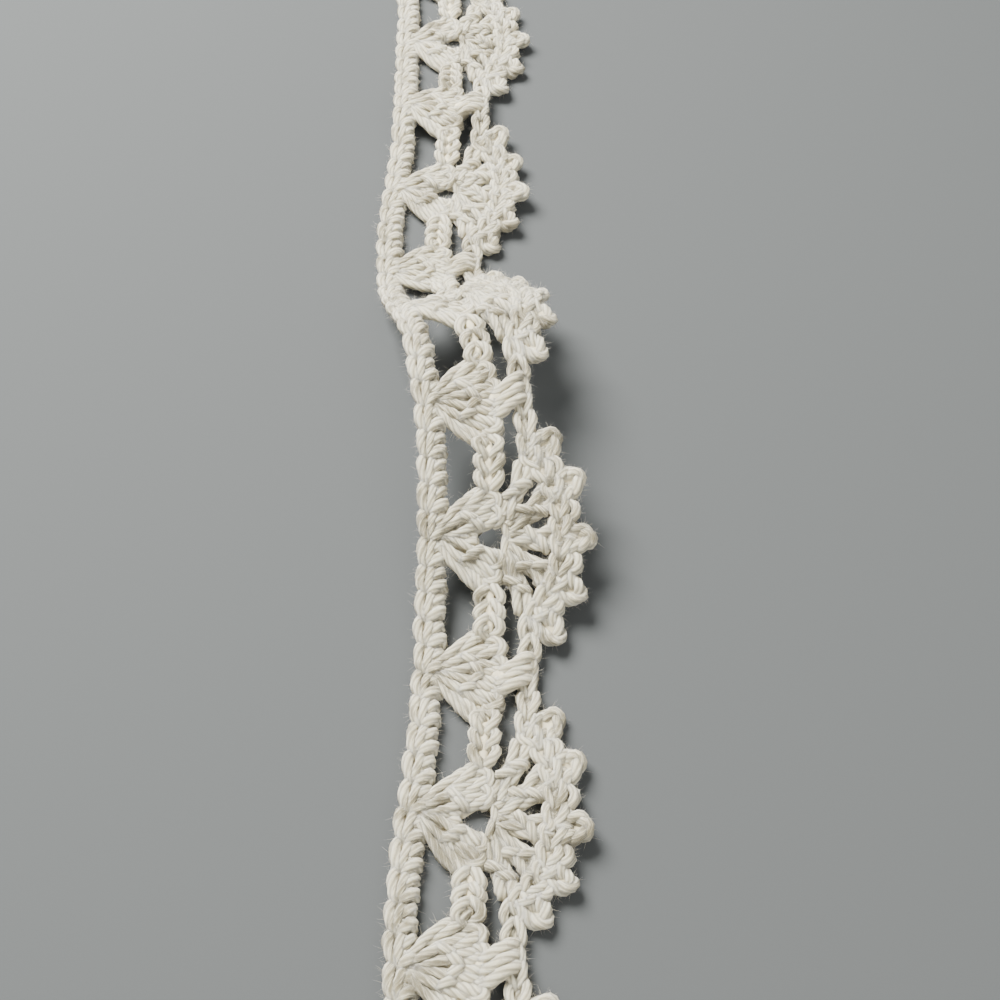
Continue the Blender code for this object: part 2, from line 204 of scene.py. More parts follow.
# Fuzz pieces: name, seed and the pieces of yarn that it stands on
FUZZ = (("fuzz_on_shells", 7, ("heading", "fan_shells", "plain_shells")),
        ("fuzz_on_fans", 8, ("fan_rays", "picot_rims")))

# Stage, in metres where no unit is named
AIM = Vector((4.7 * MM, -9.8 * MM, 0.0))     # the camera looks here
LENS = 47.5                 # in mm
CLIP_START = 0.01
FLOOR_SIZE = 6.0
WORLD = ("#F2F4F7", 0.44)   # colour and strength of the light all round
# Lights. Columns: name, place, size, watts
LIGHTS = (("key", (-0.30, 0.34, 0.56), 0.45, 24.0),
          ("fill", (0.3, -0.6, 0.6), 0.9, 5.0))

# Kinds of nodes that are used often
MATHS = "ShaderNodeMath"
VECTOR = "ShaderNodeVectorMath"
COMBINE = "ShaderNodeCombineXYZ"
SEPARATE = "ShaderNodeSeparateXYZ"
NOISE = "ShaderNodeTexNoise"
POSITION = "GeometryNodeInputPosition"
PLACE = "GeometryNodeSetPosition"


class LaceTrimSettings(bpy.types.PropertyGroup):
    """Sizes and colours of the trim's yarn and of the picture of it"""

    yarn: bpy.props.FloatProperty(
        name="Yarn", description="Diameter of the plied yarn", default=1.33 * MM, unit="LENGTH", precision=5)
    plies: bpy.props.IntProperty(
        name="Plies", description="Plies twisted into the yarn", default=5, min=2, max=8)
    ply_pitch: bpy.props.FloatProperty(
        name="Ply Pitch", description="Length of one turn of the plies", default=11.0 * MM, unit="LENGTH")
    ply_depth: bpy.props.FloatProperty(
        name="Ply Depth", description="Height of a ply as a share of the yarn's radius", default=0.095,
        subtype="FACTOR")
    lumps: bpy.props.FloatProperty(
        name="Lumps", description="Unevenness of the yarn's surface", default=0.42 * MM, unit="LENGTH")
    wander: bpy.props.FloatProperty(
        name="Wander", description="How far stitches stray from the chart", default=1.0 * MM, unit="LENGTH")
    slub: bpy.props.FloatProperty(
        name="Slub", description="Unevenness of the yarn's thickness", default=0.45, subtype="FACTOR")
    fibres: bpy.props.IntProperty(
        name="Loose Fibres", description="Loose fibre ends on each square metre of yarn", default=1220000)
    fibre: bpy.props.FloatProperty(
        name="Fibre Length", description="Length of a loose fibre end", default=1.6 * MM, unit="LENGTH")
    cotton: bpy.props.StringProperty(
        name="Cotton", description="Colour of the yarn's crests, as hex", default="#F7ECCB")
    # Painted shade: the colour that the grooves between the plies and the stitch backs are darkened towards
    cotton_painted_shade: bpy.props.StringProperty(
        name="Cotton in the Grooves", description="Colour between the plies, as hex", default="#8C8261")
    floor: bpy.props.StringProperty(
        name="Floor", description="Colour of the floor, as hex", default="#535554")
    distance: bpy.props.FloatProperty(
        name="Camera Distance", description="From the camera to the trim", default=250.0 * MM, unit="LENGTH")
    elevation: bpy.props.FloatProperty(
        name="Camera Elevation", description="Above the horizon", default=math.radians(57.0), subtype="ANGLE")


def linear(code):
    """Linear colour of an sRGB hex value."""
    parts = [int(code[i:i + 2], 16) / 255 for i in (1, 3, 5)]
    return (*(p / 12.92 if p <= 0.04045 else ((p + 0.055) / 1.055) ** 2.4 for p in parts), 1.0)


def in_scene(name, data):
    """A new object of some data, in the scene."""
    item = bpy.data.objects.new(name, data)
    bpy.context.scene.collection.objects.link(item)
    return item


def add(tree, kind, feeds=(), **settings):
    """Adds a node with its settings. Feeds are nodes, sockets or values, in order or by input name."""
    node = tree.nodes.new(kind)
    for key, value in settings.items():
        setattr(node, key, value)
    if not isinstance(feeds, dict):
        feeds = dict(enumerate(feeds))
    for key, feed in feeds.items():
        if isinstance(feed, bpy.types.Node):
            feed = feed.outputs[0]
        if isinstance(feed, bpy.types.NodeSocket):
            tree.links.new(feed, node.inputs[key])
        else:
            node.inputs[key].default_value = feed
    return node


# Route and chart

def smooth_through(rows, at):
    """Value at a place on the smooth curve through the rows of a two-column table."""
    places = [row[0] for row in rows]
    i = min(max(bisect.bisect_right(places, at) - 1, 0), len(rows) - 2)
    (x0, y0), (x1, y1) = rows[i], rows[i + 1]
    before = rows[max(i - 1, 0)]
    after = rows[min(i + 2, len(rows) - 1)]
    slope0 = (y1 - before[1]) / (x1 - before[0])
    slope1 = (after[1] - y0) / (after[0] - x0)
    span = x1 - x0
    part = (at - x0) / span
    return (y0 * (1 + 2 * part) * (1 - part) ** 2 + y1 * part ** 2 * (3 - 2 * part)
            + span * part * (1 - part) * (slope0 * (1 - part) - slope1 * part))


def rise_at(y):
    """Height of the route over the surface."""
    height = 0.0
    for near, crest, far, top in FOLDS:
        if near < y < far:
            part = (y - near) / (crest - near) if y < crest else (far - y) / (far - crest)
            height += top * (1 - math.cos(math.pi * part)) / 2
    return height


def lift_at(along):
    """Lift of the trim's free edge at a place along it."""
    lift = 0.0
    for fan, top in CURLS:
        away = abs(along - fan * REPEAT) / CURL_HALF
        if away < 1.0:
            lift += top * (1 + math.cos(math.pi * away)) / 2
    return lift


def route_object():
    """The heading's free edge as a line of edges with the lift at each point, and its zero length."""
    first = round((SWAY[0][0] - ROUTE_SPARE) / ROUTE_STEP)
    last = round((SWAY[-1][0] + ROUTE_SPARE) / ROUTE_STEP)
    points = []
    for i in range(first, last + 1):
        y = i * ROUTE_STEP
        points.append(Vector((smooth_through(SWAY, min(max(y, SWAY[0][0]), SWAY[-1][0])), y, rise_at(y))))
    lengths = [0.0]
    for a, b in zip(points, points[1:]):
        lengths.append(lengths[-1] + (b - a).length)
    zero = lengths[-first]
    mesh = bpy.data.meshes.new("route")
    mesh.from_pydata([p + SHIFT for p in points], [(i, i + 1) for i in range(len(points) - 1)], [])
    lift = mesh.attributes.new("lift", "FLOAT", "POINT")
    lift.data.foreach_set("value", [lift_at(length - zero) for length in lengths])
    return in_scene("route", mesh), zero


def smooth_path(corners):
    """Points every CHAIN_STEP on a smooth curve through corners in the chart's plane."""
    corners = [Vector(c) for c in corners]
    ends = [2 * corners[0] - corners[1], *corners, 2 * corners[-1] - corners[-2]]
    points = [corners[0]]
    for a, b, c, d in zip(ends, ends[1:], ends[2:], ends[3:]):
        count = math.ceil((c - b).length / CHAIN_STEP)
        for i in range(1, count + 1):
            t = i / count
            points.append(0.5 * ((2 * b) + (c - a) * t + (2 * a - 5 * b + 4 * c - d) * t ** 2
                                 + (3 * b - a - 3 * c + d) * t ** 3))
    return points


def spot(path, part, aside):
    """Place at a part of a path, moved aside to its left. Beyond its ends it goes straight on."""
    at = part * (len(path) - 1)
    i = min(max(int(at), 0), len(path) - 2)
    ahead = path[i + 1] - path[i]
    out = Vector((-ahead.y, ahead.x)).normalized()
    return path[i] + ahead * (at - i) + out * aside


# Stitches, each a list of strands, and each strand a list of (along, across, height, thickness)

def chain(corners, stitches, width, middle, fat, yarn):
    """A run of chain stitches: two limbs for each on its face and a strand on its back."""
    path = smooth_path(corners)
    strands = []
    for i in range(stitches):
        for side in (-1, 1):
            limb = [(*spot(path, (i + a) / stitches, side * w * width), middle + h * yarn, fat)
                    for a, w, h in CHAIN_LIMB]
            strands.append(limb)
    back = []
    for i in range(stitches):
        back += [(*spot(path, (i + a) / stitches, w * width), middle + h * yarn, fat)
                 for a, w, h in CHAIN_BACK]
    strands.append(back)
    return strands


def twine(corners, turns, yarn, middle, fat):
    """Two strands wound round each other along a path."""
    path = smooth_path(corners)
    strands = []
    for side in (0.0, math.pi):
        strand = []
        for i in range(TWINE_STEPS + 1):
            part = i / TWINE_STEPS
            angle = side + 2 * math.pi * turns * part
            aside = TWINE_SPREAD * yarn * math.cos(angle)
            strand.append((*spot(path, part, aside), middle + TWINE_SPREAD * yarn * math.sin(angle), fat))
        strands.append(strand)
    return strands


def post(foot, top, yarn, start=0.0, foot_up=0.0, bow=0.0):
    """A double crochet: two strands wound round each other, wider apart at the top."""
    foot, top = Vector(foot), Vector(top)
    out = (top - foot).orthogonal().normalized()
    strands = []
    for side in (0.0, math.pi):
        strand = []
        for i in range(POST_STEPS + 1):
            part = i / POST_STEPS
            angle = start + side + 2 * math.pi * POST_TURNS * part
            apart = yarn * (POST_SPREAD[0] + (POST_SPREAD[1] - POST_SPREAD[0]) * part)
            place = foot.lerp(top, part) + out * apart * math.cos(angle)
            place.x -= bow * 4 * part * (1 - part)
            height = POST_MIDDLE + foot_up * (1 - part) ** 2 + POST_FLAT * apart * math.sin(angle)
            fat = POST_FAT[0] + (POST_FAT[1] - POST_FAT[0]) * part
            strand.append((*place, height, fat))
        strand.append((*place, POST_TUCK, 1.0))
        strands.append(strand)
    return strands


def wrap(foot, top, at, yarn):
    """The yarn-over that crosses a post from one side to the other."""
    foot, top = Vector(foot), Vector(top)
    ahead = (top - foot).normalized()
    out = ahead.orthogonal()
    middle = foot.lerp(top, at)
    return [[(*(middle + (out * a + ahead * b) * yarn), h * MM, WRAP_FAT) for a, b, h in WRAP]]


def loops_on(top, foot):
    """The two loops on the top of one double crochet."""
    top = Vector(top)
    out = (top - Vector(foot)).normalized()
    along = out.orthogonal()
    return [[(*(top + (along * a + out * b) * MM), h * MM, LOOP_FAT) for a, b, h in rows]
            for rows in (TOP_LOOP, UNDER_LOOP)]


def mirrored(strands):
    return [[(-a, c, h, f) for a, c, h, f in strand] for strand in strands]


def heading_stitch():
    """One single crochet of the heading."""
    return [[(a * MM, c * MM, h * MM, fat) for a, c, h, fat in strand] for strand in HEADING]


def half_shell(tops, yarn, bow=0.0):
    """Posts of one side of a shell. The bar covers the loops of the last one."""
    strands = []
    for i, top in enumerate(tops):
        foot = (FOOT_SPREAD * (i + 0.5), SHELL_FOOT)
        strands += post(foot, top, yarn, SHELL_TURN * i, FOOT_RISE, 0.0 if i else bow)
    for top, at in zip(tops, SHELL_WRAPS):
        strands += wrap((0.0, SHELL_FOOT), top, at, yarn)
        strands += loops_on(top, (0.0, SHELL_FOOT))
    return strands


def fan_shell(yarn):
    """The shell that carries a fan, its chain space, and half the bars to both sides."""
    half = half_shell(FAN_SHELL, yarn, FAN_BOW)
    near, far = FAN_SHELL[-1][0] - BAR_LAP, REPEAT / 2 - PLAIN_SHELL[-1][0] + BAR_LAP
    half += chain([(near, BAR_ACROSS), (far, BAR_ACROSS)], *BAR_CHAIN, yarn)
    inner, low = FAN_SHELL[0][0], CHAIN_SPACE - SPACE_SAG
    space = chain([(-inner, low), (0.0, CHAIN_SPACE), (inner, low)], *SPACE_CHAIN, yarn)
    return half + mirrored(half) + space + post(*CORE, yarn)


def plain_shell(yarn):
    """The shell between two fans, with the knot that ties them down."""
    half = half_shell(PLAIN_SHELL, yarn)
    knot = [[(a * MM + step * KNOT_STEP, c * MM, h * MM, KNOT_FAT) for a, c, h in KNOT]
            for step in (-1, 0, 1)]
    return half + mirrored(half) + knot


def fan_rays(yarn):
    """Five rays of two double crochets. The outer two end under the rim, so they have no loops."""
    strands = []
    for number, (foot_along, foot_across, top_along, top_across, top_half) in enumerate(RAYS):
        foot = Vector((foot_along, foot_across))
        top = Vector((top_along, top_across))
        ahead = (top - foot).normalized()
        out = ahead.orthogonal()
        ray = []
        for hand, at in zip((-1, 1), RAY_WRAPS):
            ends = (foot + out * hand * RAY_FOOT, top + out * hand * top_half)
            ray += post(*ends, yarn, RAY_TURN * hand, RAY_RISE)
            ray += wrap(*ends, at, yarn)
        if number < len(RAYS) - 1:
            ray += loops_on(top - ahead * LOOP_INSET, foot)
        strands += ray + (mirrored(ray) if number else [])
    return strands


def picot_path(root, tip):
    """Corners of the loop that a picot's chain follows, up one side and down the other."""
    root, tip = Vector(root), Vector(tip)
    out = (tip - root).normalized()
    off = Vector((out.y, -out.x)) * PICOT_HALF
    rise = [tip - out * before - off * aside for before, aside in reversed(PICOT_SIDE)]
    fall = [tip - out * before + off * aside for before, aside in PICOT_SIDE]
    return [root - off * PICOT_ROOT, *rise, *fall, root + off * PICOT_ROOT]


def fan_rim(yarn):
    """Rim row, picots, and the chains that tie the fan to its neighbours."""
    row = [(-a, c) for a, c in reversed(RIM[1:])] + list(RIM)
    strands = chain(row, *RIM_CHAIN, yarn)
    for number, (root_along, root_across, tip_along, tip_across) in enumerate(PICOTS):
        corners = picot_path((root_along, root_across), (tip_along, tip_across))
        loop = twine(corners, PICOT_TURNS, yarn, PICOT_MIDDLE, PICOT_FAT)
        root = (corners[0] + corners[-1]) / 2
        tip = Vector((tip_along, tip_across))
        loop.append([(*root.lerp(tip, part), height * MM, fat) for part, height, fat in PICOT_HEART])
        strands += loop + (mirrored(loop) if number else [])
    for root_along, root_across, tip_along, tip_across in NOTCHES:
        loop = loops_on((tip_along, tip_across), (root_along, root_across))
        strands += loop + mirrored(loop)
    tie = chain(TIE, *TIE_CHAIN, yarn)
    return strands + tie + mirrored(tie)


# Geometry nodes

def tree_with(name, *sockets):
    """A new tree with a geometry input and output and named inputs. Sockets: (name, kind)."""
    tree = bpy.data.node_groups.new(name, "GeometryNodeTree")
    tree.interface.new_socket("Geometry", in_out="INPUT", socket_type="NodeSocketGeometry")
    tree.interface.new_socket("Geometry", in_out="OUTPUT", socket_type="NodeSocketGeometry")
    for label, kind in sockets:
        tree.interface.new_socket(label, in_out="INPUT", socket_type="NodeSocket" + kind)
    return tree, add(tree, "NodeGroupInput").outputs


def close_tree(tree, geometry, material):
    """Ends a tree in Realize Instances and Set Material."""
    whole = add(tree, "GeometryNodeRealizeInstances", (geometry,))
    dressed = add(tree, "GeometryNodeSetMaterial", {"Geometry": whole, "Material": material})
    add(tree, "NodeGroupOutput", (dressed,))


def stray(tree, where, scale, amount):
    """A smooth wander of points: noise from minus half to half of the amount."""
    noise = add(tree, NOISE, {"Vector": where, "Scale": scale, "Detail": 1.0}).outputs["Color"]
    centred = add(tree, VECTOR, (noise, (0.5, 0.5, 0.5)), operation="SUBTRACT")
    return add(tree, VECTOR, {0: centred, "Scale": amount}, operation="SCALE")


def floored(tree, geometry, low):
    """Lifts every point that is lower than a height up to it."""
    place = add(tree, SEPARATE, (add(tree, POSITION),)).outputs
    height = add(tree, MATHS, (place["Z"], low), operation="MAXIMUM")
    lifted = add(tree, COMBINE, (place["X"], place["Y"], height))
    return add(tree, PLACE, {"Geometry": geometry, "Position": lifted})


def charted_strands(tree, given, radius):
    """One repeat after another, still flat, each strand a smooth curve that strays a little."""
    start = add(tree, COMBINE, (given["Start"],))
    step = add(tree, COMBINE, (given["Step"],))
    line = add(tree, "GeometryNodeMeshLine",
               {"Count": given["Count"], "Start Location": start, "Offset": step}, mode="OFFSET")
    copies = add(tree, "GeometryNodeInstanceOnPoints", {"Points": line, "Instance": given["Geometry"]})
    flat = add(tree, "GeometryNodeRealizeInstances", (copies,))
    here = add(tree, POSITION)
    coarse = stray(tree, here, COARSE_STRAY, given["Wander"])
    less = add(tree, MATHS, (given["Wander"], FINE_SHARE), operation="MULTIPLY")
    fine = stray(tree, here, FINE_STRAY, less)
    offset = add(tree, VECTOR, (coarse, fine), operation="ADD")
    worked = add(tree, PLACE, {"Geometry": flat, "Offset": offset})
    fat = add(tree, "GeometryNodeInputNamedAttribute", {"Name": "fat"}, data_type="FLOAT")
    settled = floored(tree, worked, add(tree, MATHS, (radius, fat), operation="MULTIPLY"))
    curves = add(tree, "GeometryNodeMeshToCurve", (settled,))
    rounded = add(tree, "GeometryNodeCurveSplineType", (curves,), spline_type="CATMULL_ROM")
    return add(tree, "GeometryNodeResampleCurve", {"Curve": rounded, "Length": STRAND_STEP}, mode="LENGTH")


def laid_on_route(tree, given, strands):
    """Charted strands laid along the route, with each fan's free end curled."""
    edge = add(tree, "GeometryNodeObjectInfo", (given["Route"],), transform_space="ORIGINAL")
    route = add(tree, "GeometryNodeMeshToCurve", {"Mesh": edge.outputs["Geometry"]})
    lift = add(tree, "GeometryNodeInputNamedAttribute", {"Name": "lift"}, data_type="FLOAT")
    charted = add(tree, SEPARATE, (add(tree, POSITION),)).outputs
    length = add(tree, MATHS, (charted["X"], given["Route Zero"]), operation="ADD")
    sample = add(tree, "GeometryNodeSampleCurve", {"Curves": route, "Value": lift, "Length": length},
                 mode="LENGTH", data_type="FLOAT").outputs
    ahead = add(tree, VECTOR, (sample["Tangent"],), operation="NORMALIZE")
    aside = add(tree, VECTOR, (ahead, (0.0, 0.0, 1.0)), operation="CROSS_PRODUCT")
    right = add(tree, VECTOR, (aside,), operation="NORMALIZE")
    up = add(tree, VECTOR, (right, ahead), operation="CROSS_PRODUCT")
    reach = add(tree, "ShaderNodeMapRange",
                {"Value": charted["Y"], "From Min": given["Curl From"], "From Max": given["Curl To"]},
                clamp=True)
    squared = add(tree, MATHS, (reach, reach), operation="MULTIPLY")
    raised = add(tree, MATHS, (sample["Value"], squared, charted["Z"]), operation="MULTIPLY_ADD")
    beside = add(tree, VECTOR, {0: right, "Scale": charted["Y"]}, operation="SCALE")
    above = add(tree, VECTOR, {0: up, "Scale": raised}, operation="SCALE")
    off = add(tree, VECTOR, (beside, above), operation="ADD")
    placed = add(tree, VECTOR, (sample["Position"], off), operation="ADD")
    return add(tree, PLACE, {"Geometry": strands, "Position": placed})


def ply_profile(tree, given):
    """Section of the yarn, with a lobe for each ply, and the direction round it at each point."""
    points = add(tree, MATHS, (given["Plies"], PLY_POINTS), operation="MULTIPLY")
    circle = add(tree, "GeometryNodeCurvePrimitiveCircle", {"Resolution": points, "Radius": 1.0})
    way_round = add(tree, POSITION)
    corner = add(tree, SEPARATE, (way_round,)).outputs
    angle = add(tree, MATHS, (corner["Y"], corner["X"]), operation="ARCTAN2")
    phase = add(tree, MATHS, (angle, given["Plies"]), operation="MULTIPLY")
    lobe = add(tree, MATHS, (phase,), operation="COSINE")
    bulge = add(tree, MATHS, (lobe, given["Ply Depth"], 1.0), operation="MULTIPLY_ADD")
    spun = add(tree, VECTOR, {0: way_round, "Scale": bulge}, operation="SCALE")
    hub = add(tree, "GeometryNodeCaptureAttribute", (circle,), domain="POINT")
    hub.capture_items.new("VECTOR", "Round Yarn")
    tree.links.new(way_round.outputs[0], hub.inputs[1])
    return add(tree, PLACE, {"Geometry": hub, "Position": spun}), hub.outputs[1]


def stitched_yarn_tree():
    """Repeats charted strands, lays them along the route and spins plied yarn round them."""
    tree, given = tree_with(
        "stitched yarn", ("Route", "Object"), ("Route Zero", "Float"), ("Start", "Float"), ("Step", "Float"),
        ("Count", "Int"), ("Yarn", "Float"), ("Plies", "Int"), ("Ply Pitch", "Float"), ("Ply Depth", "Float"),
        ("Lumps", "Float"), ("Wander", "Float"), ("Slub", "Float"), ("Curl From", "Float"),
        ("Curl To", "Float"), ("Material", "Material"))
    radius = add(tree, MATHS, (given["Yarn"], 0.5), operation="MULTIPLY")
    laid = laid_on_route(tree, given, charted_strands(tree, given, radius))
    here = add(tree, POSITION)

    # Loose twist: its pitch is uneven
    length = add(tree, "GeometryNodeSplineParameter").outputs["Length"]
    turns = add(tree, MATHS, (length, given["Ply Pitch"]), operation="DIVIDE")
    loose = add(tree, NOISE, {"Vector": here, "Scale": TWIST_SCALE}).outputs["Fac"]
    uneven = add(tree, MATHS, (loose, TWIST_SHARE, turns), operation="MULTIPLY_ADD")
    tilt = add(tree, MATHS, (uneven, 2 * math.pi), operation="MULTIPLY")
    twisted = add(tree, "GeometryNodeSetCurveTilt", {"Curve": laid, "Tilt": tilt})
    way = add(tree, "GeometryNodeCaptureAttribute", (twisted,), domain="POINT")
    way.capture_items.new("FLOAT", "Along Yarn")
    tree.links.new(length, way.inputs[1])

    # Skin of the yarn, uneven in thickness
    fat = add(tree, "GeometryNodeInputNamedAttribute", {"Name": "fat"}, data_type="FLOAT")
    slub = add(tree, NOISE, {"Vector": here, "Scale": SLUB_SCALE, "Detail": 2.0}).outputs["Fac"]
    centred = add(tree, MATHS, (slub, 0.5), operation="SUBTRACT")
    swell = add(tree, MATHS, (centred, given["Slub"], 1.0), operation="MULTIPLY_ADD")
    full = add(tree, MATHS, (radius, fat), operation="MULTIPLY")
    thick = add(tree, MATHS, (full, swell), operation="MULTIPLY")
    profile, way_round = ply_profile(tree, given)
    skin = add(tree, "GeometryNodeCurveToMesh",
               {"Curve": way, "Profile Curve": profile, "Scale": thick, "Fill Caps": True})
    rounds = add(tree, SEPARATE, (way_round,)).outputs
    yarn_way = add(tree, COMBINE, (rounds["X"], rounds["Y"], way.outputs[1]))
    marked = add(tree, "GeometryNodeStoreNamedAttribute",
                 {"Geometry": skin, "Name": "yarn_way", "Value": yarn_way},
                 data_type="FLOAT_VECTOR", domain="POINT")

    # Soft lumps, pressed flat where the yarn lies on the surface
    lump = add(tree, NOISE, {"Vector": here, "Scale": LUMP_SCALE, "Detail": 2.0}).outputs["Fac"]
    middle = add(tree, MATHS, (lump, 0.5), operation="SUBTRACT")
    push = add(tree, MATHS, (middle, given["Lumps"]), operation="MULTIPLY")
    puff = add(tree, VECTOR, {0: add(tree, "GeometryNodeInputNormal"), "Scale": push}, operation="SCALE")
    puffed = add(tree, PLACE, {"Geometry": marked, "Offset": puff})
    smooth = add(tree, "GeometryNodeSetShadeSmooth", (floored(tree, puffed, 0.0),))
    close_tree(tree, smooth, given["Material"])
    return tree


def loose_fibres_tree():
    """Short fibre ends that stand off the yarn, each a thin spike."""
    tree, given = tree_with(
        "loose fibres", ("Density", "Float"), ("Length", "Float"), ("Thickness", "Float"), ("Seed", "Int"),
        ("Material", "Material"))
    spread = add(tree, "GeometryNodeDistributePointsOnFaces",
                 {"Mesh": given["Geometry"], "Density": given["Density"], "Seed": given["Seed"]},
                 distribute_method="RANDOM")
    lean = add(tree, "FunctionNodeRandomValue",
               {"Min": (-FIBRE_LEAN,) * 3, "Max": (FIBRE_LEAN,) * 3, "Seed": LEAN_SEED},
               data_type="FLOAT_VECTOR")
    way = add(tree, VECTOR, (spread.outputs["Normal"], lean), operation="ADD")
    aim = add(tree, "FunctionNodeAlignRotationToVector", {"Vector": way}, axis="Z")
    size = add(tree, "FunctionNodeRandomValue", {2: FIBRE_SIZES[0], 3: FIBRE_SIZES[1], "Seed": SIZE_SEED},
               data_type="FLOAT")
    root = add(tree, MATHS, (given["Thickness"], 0.5), operation="MULTIPLY")
    spike = add(tree, "GeometryNodeMeshCone",
                {"Vertices": 3, "Radius Top": 0.0, "Radius Bottom": root, "Depth": given["Length"]})
    copies = add(tree, "GeometryNodeInstanceOnPoints",
                 {"Points": spread, "Instance": spike, "Rotation": aim, "Scale": size.outputs[1]})
    hairs = add(tree, "GeometryNodeRealizeInstances", (copies,))
    smooth = add(tree, "GeometryNodeSetShadeSmooth", (floored(tree, hairs, 0.0),))
    close_tree(tree, smooth, given["Material"])
    return tree


def apply_tree(item, tree, values):
    """Runs a tree on an object with its named inputs, and keeps the result as the object's plain mesh."""
    modifier = item.modifiers.new("stitches", "NODES")
    modifier.node_group = tree
    for socket in tree.interface.items_tree:
        if socket.in_out == "INPUT" and socket.name in values:
            modifier[socket.identifier] = values[socket.name]
    mesh = bpy.data.meshes.new_from_object(item.evaluated_get(bpy.context.evaluated_depsgraph_get()))
    item.modifiers.clear()
    item.data = mesh


def strands_to_object(name, strands):
    """An object of bare edges, one open line for each strand, with its thickness at each point."""
    points, edges, fats = [], [], []
    for strand in strands:
        edges += [(len(points) + i, len(points) + i + 1) for i in range(len(strand) - 1)]
        points += [row[:3] for row in strand]
        fats += [row[3] for row in strand]
    mesh = bpy.data.meshes.new(name)
    mesh.from_pydata(points, edges, [])
    mesh.attributes.new("fat", "FLOAT", "POINT").data.foreach_set("value", fats)
    return in_scene(name, mesh)


def belongs(item):
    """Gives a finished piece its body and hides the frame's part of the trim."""
    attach(item, BODY)
    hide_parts(NODE)


def stitched(context, name, strands, start, step, count):
    """A finished piece of yarn from the strands of one repeat."""
    settings = context.scene.lace_trim
    item = strands_to_object(name, strands)
    route, zero = route_object()
    tree = bpy.data.node_groups.get("stitched yarn") or stitched_yarn_tree()
    apply_tree(item, tree, {
        "Route": route, "Route Zero": zero, "Start": start, "Step": step, "Count": count,
        "Yarn": settings.yarn, "Plies": settings.plies, "Ply Pitch": settings.ply_pitch,
        "Ply Depth": settings.ply_depth, "Lumps": settings.lumps, "Wander": settings.wander,
        "Slub": settings.slub, "Curl From": CURL_FROM, "Curl To": WIDTH, "Material": combed_cotton(settings)})
    bpy.data.objects.remove(route, do_unlink=True)
    belongs(item)


# Materials

def matt_material(name, roughness, gloss):
    """A new material with the roughness and the gloss of its shader, and its tree and shader."""
    material = bpy.data.materials.new(name)
    material.use_nodes = True
    tree = material.node_tree
    shader = tree.nodes["Principled BSDF"]
    shader.inputs["Roughness"].default_value = roughness
    shader.inputs["Specular IOR Level"].default_value = gloss
    return material, tree, shader


def combed_cotton(settings):
    """Combed cotton, softly plied and not mercerised: matt and milky, with short fibres that catch
    the light at grazing angles, and painted ivory shade in the grooves where the plies press together."""
    name = "combed_cotton_yarn"
    if name in bpy.data.materials:
        return bpy.data.materials[name]
    material, tree, shader = matt_material(name, 0.85, 0.25)
    shader.inputs["Metallic"].default_value = 0.0
    shader.inputs["IOR"].default_value = 1.53
    shader.inputs["Sheen Weight"].default_value = 0.4
    shader.inputs["Sheen Roughness"].default_value = 0.5
    shader.inputs["Subsurface Weight"].default_value = 0.55
    shader.inputs["Subsurface Radius"].default_value = (1.0, 0.95, 0.85)
    shader.inputs["Subsurface Scale"].default_value = 0.8 * MM

    way = add(tree, "ShaderNodeAttribute", attribute_name="yarn_way").outputs["Vector"]
    part = add(tree, SEPARATE, (way,)).outputs
    angle = add(tree, MATHS, (part["Y"], part["X"]), operation="ARCTAN2")
    phase = add(tree, MATHS, (angle, float(settings.plies)), operation="MULTIPLY")
    lobe = add(tree, MATHS, (phase,), operation="COSINE")
    # Painted shade between the plies: the grooves between the lobes are coloured darker, towards the groove
    # shade colour
    painted_groove_shade = add(tree, "ShaderNodeMapRange",
                 {"Value": lobe, "From Min": -1.0, "From Max": 0.1, "To Min": 0.35})

    # Fibres run along a ply. They are 0.02 mm thick, and show as bundles of about 0.2 mm
    streaks = add(tree, VECTOR, (way, STREAKS), operation="MULTIPLY")
    fibre = add(tree, NOISE,
                {"Vector": streaks, "Scale": 1.0, "Detail": 5.0, "Roughness": 0.75}).outputs["Fac"]
    # Patches about 6 mm wide are a little duller
    place = add(tree, "ShaderNodeTexCoord").outputs["Object"]
    patch = add(tree, NOISE, {"Vector": place, "Scale": 160.0, "Detail": 3.0}).outputs["Fac"]
    fibres_and_patches = add(tree, MATHS, (fibre, patch), operation="ADD")
    # Darker where the fibre streaks and the patches are low
    streak_and_patch_tone = add(tree, "ShaderNodeMapRange", {"Value": fibres_and_patches, "From Min": 0.82, "From Max": 1.01})
    # Painted groove shade, times the darker fibre streaks and duller patches
    light = add(tree, MATHS, (painted_groove_shade, streak_and_patch_tone), operation="MULTIPLY")
    colour = add(tree, "ShaderNodeMix",
                 {0: light, 6: linear(settings.cotton_painted_shade), 7: linear(settings.cotton)}, data_type="RGBA")
    tree.links.new(colour.outputs[2], shader.inputs["Base Color"])
    relief = add(tree, "ShaderNodeBump", {"Height": fibre, "Strength": 1.0, "Distance": 1.0 * MM})
    tree.links.new(relief.outputs[0], shader.inputs["Normal"])
    return material


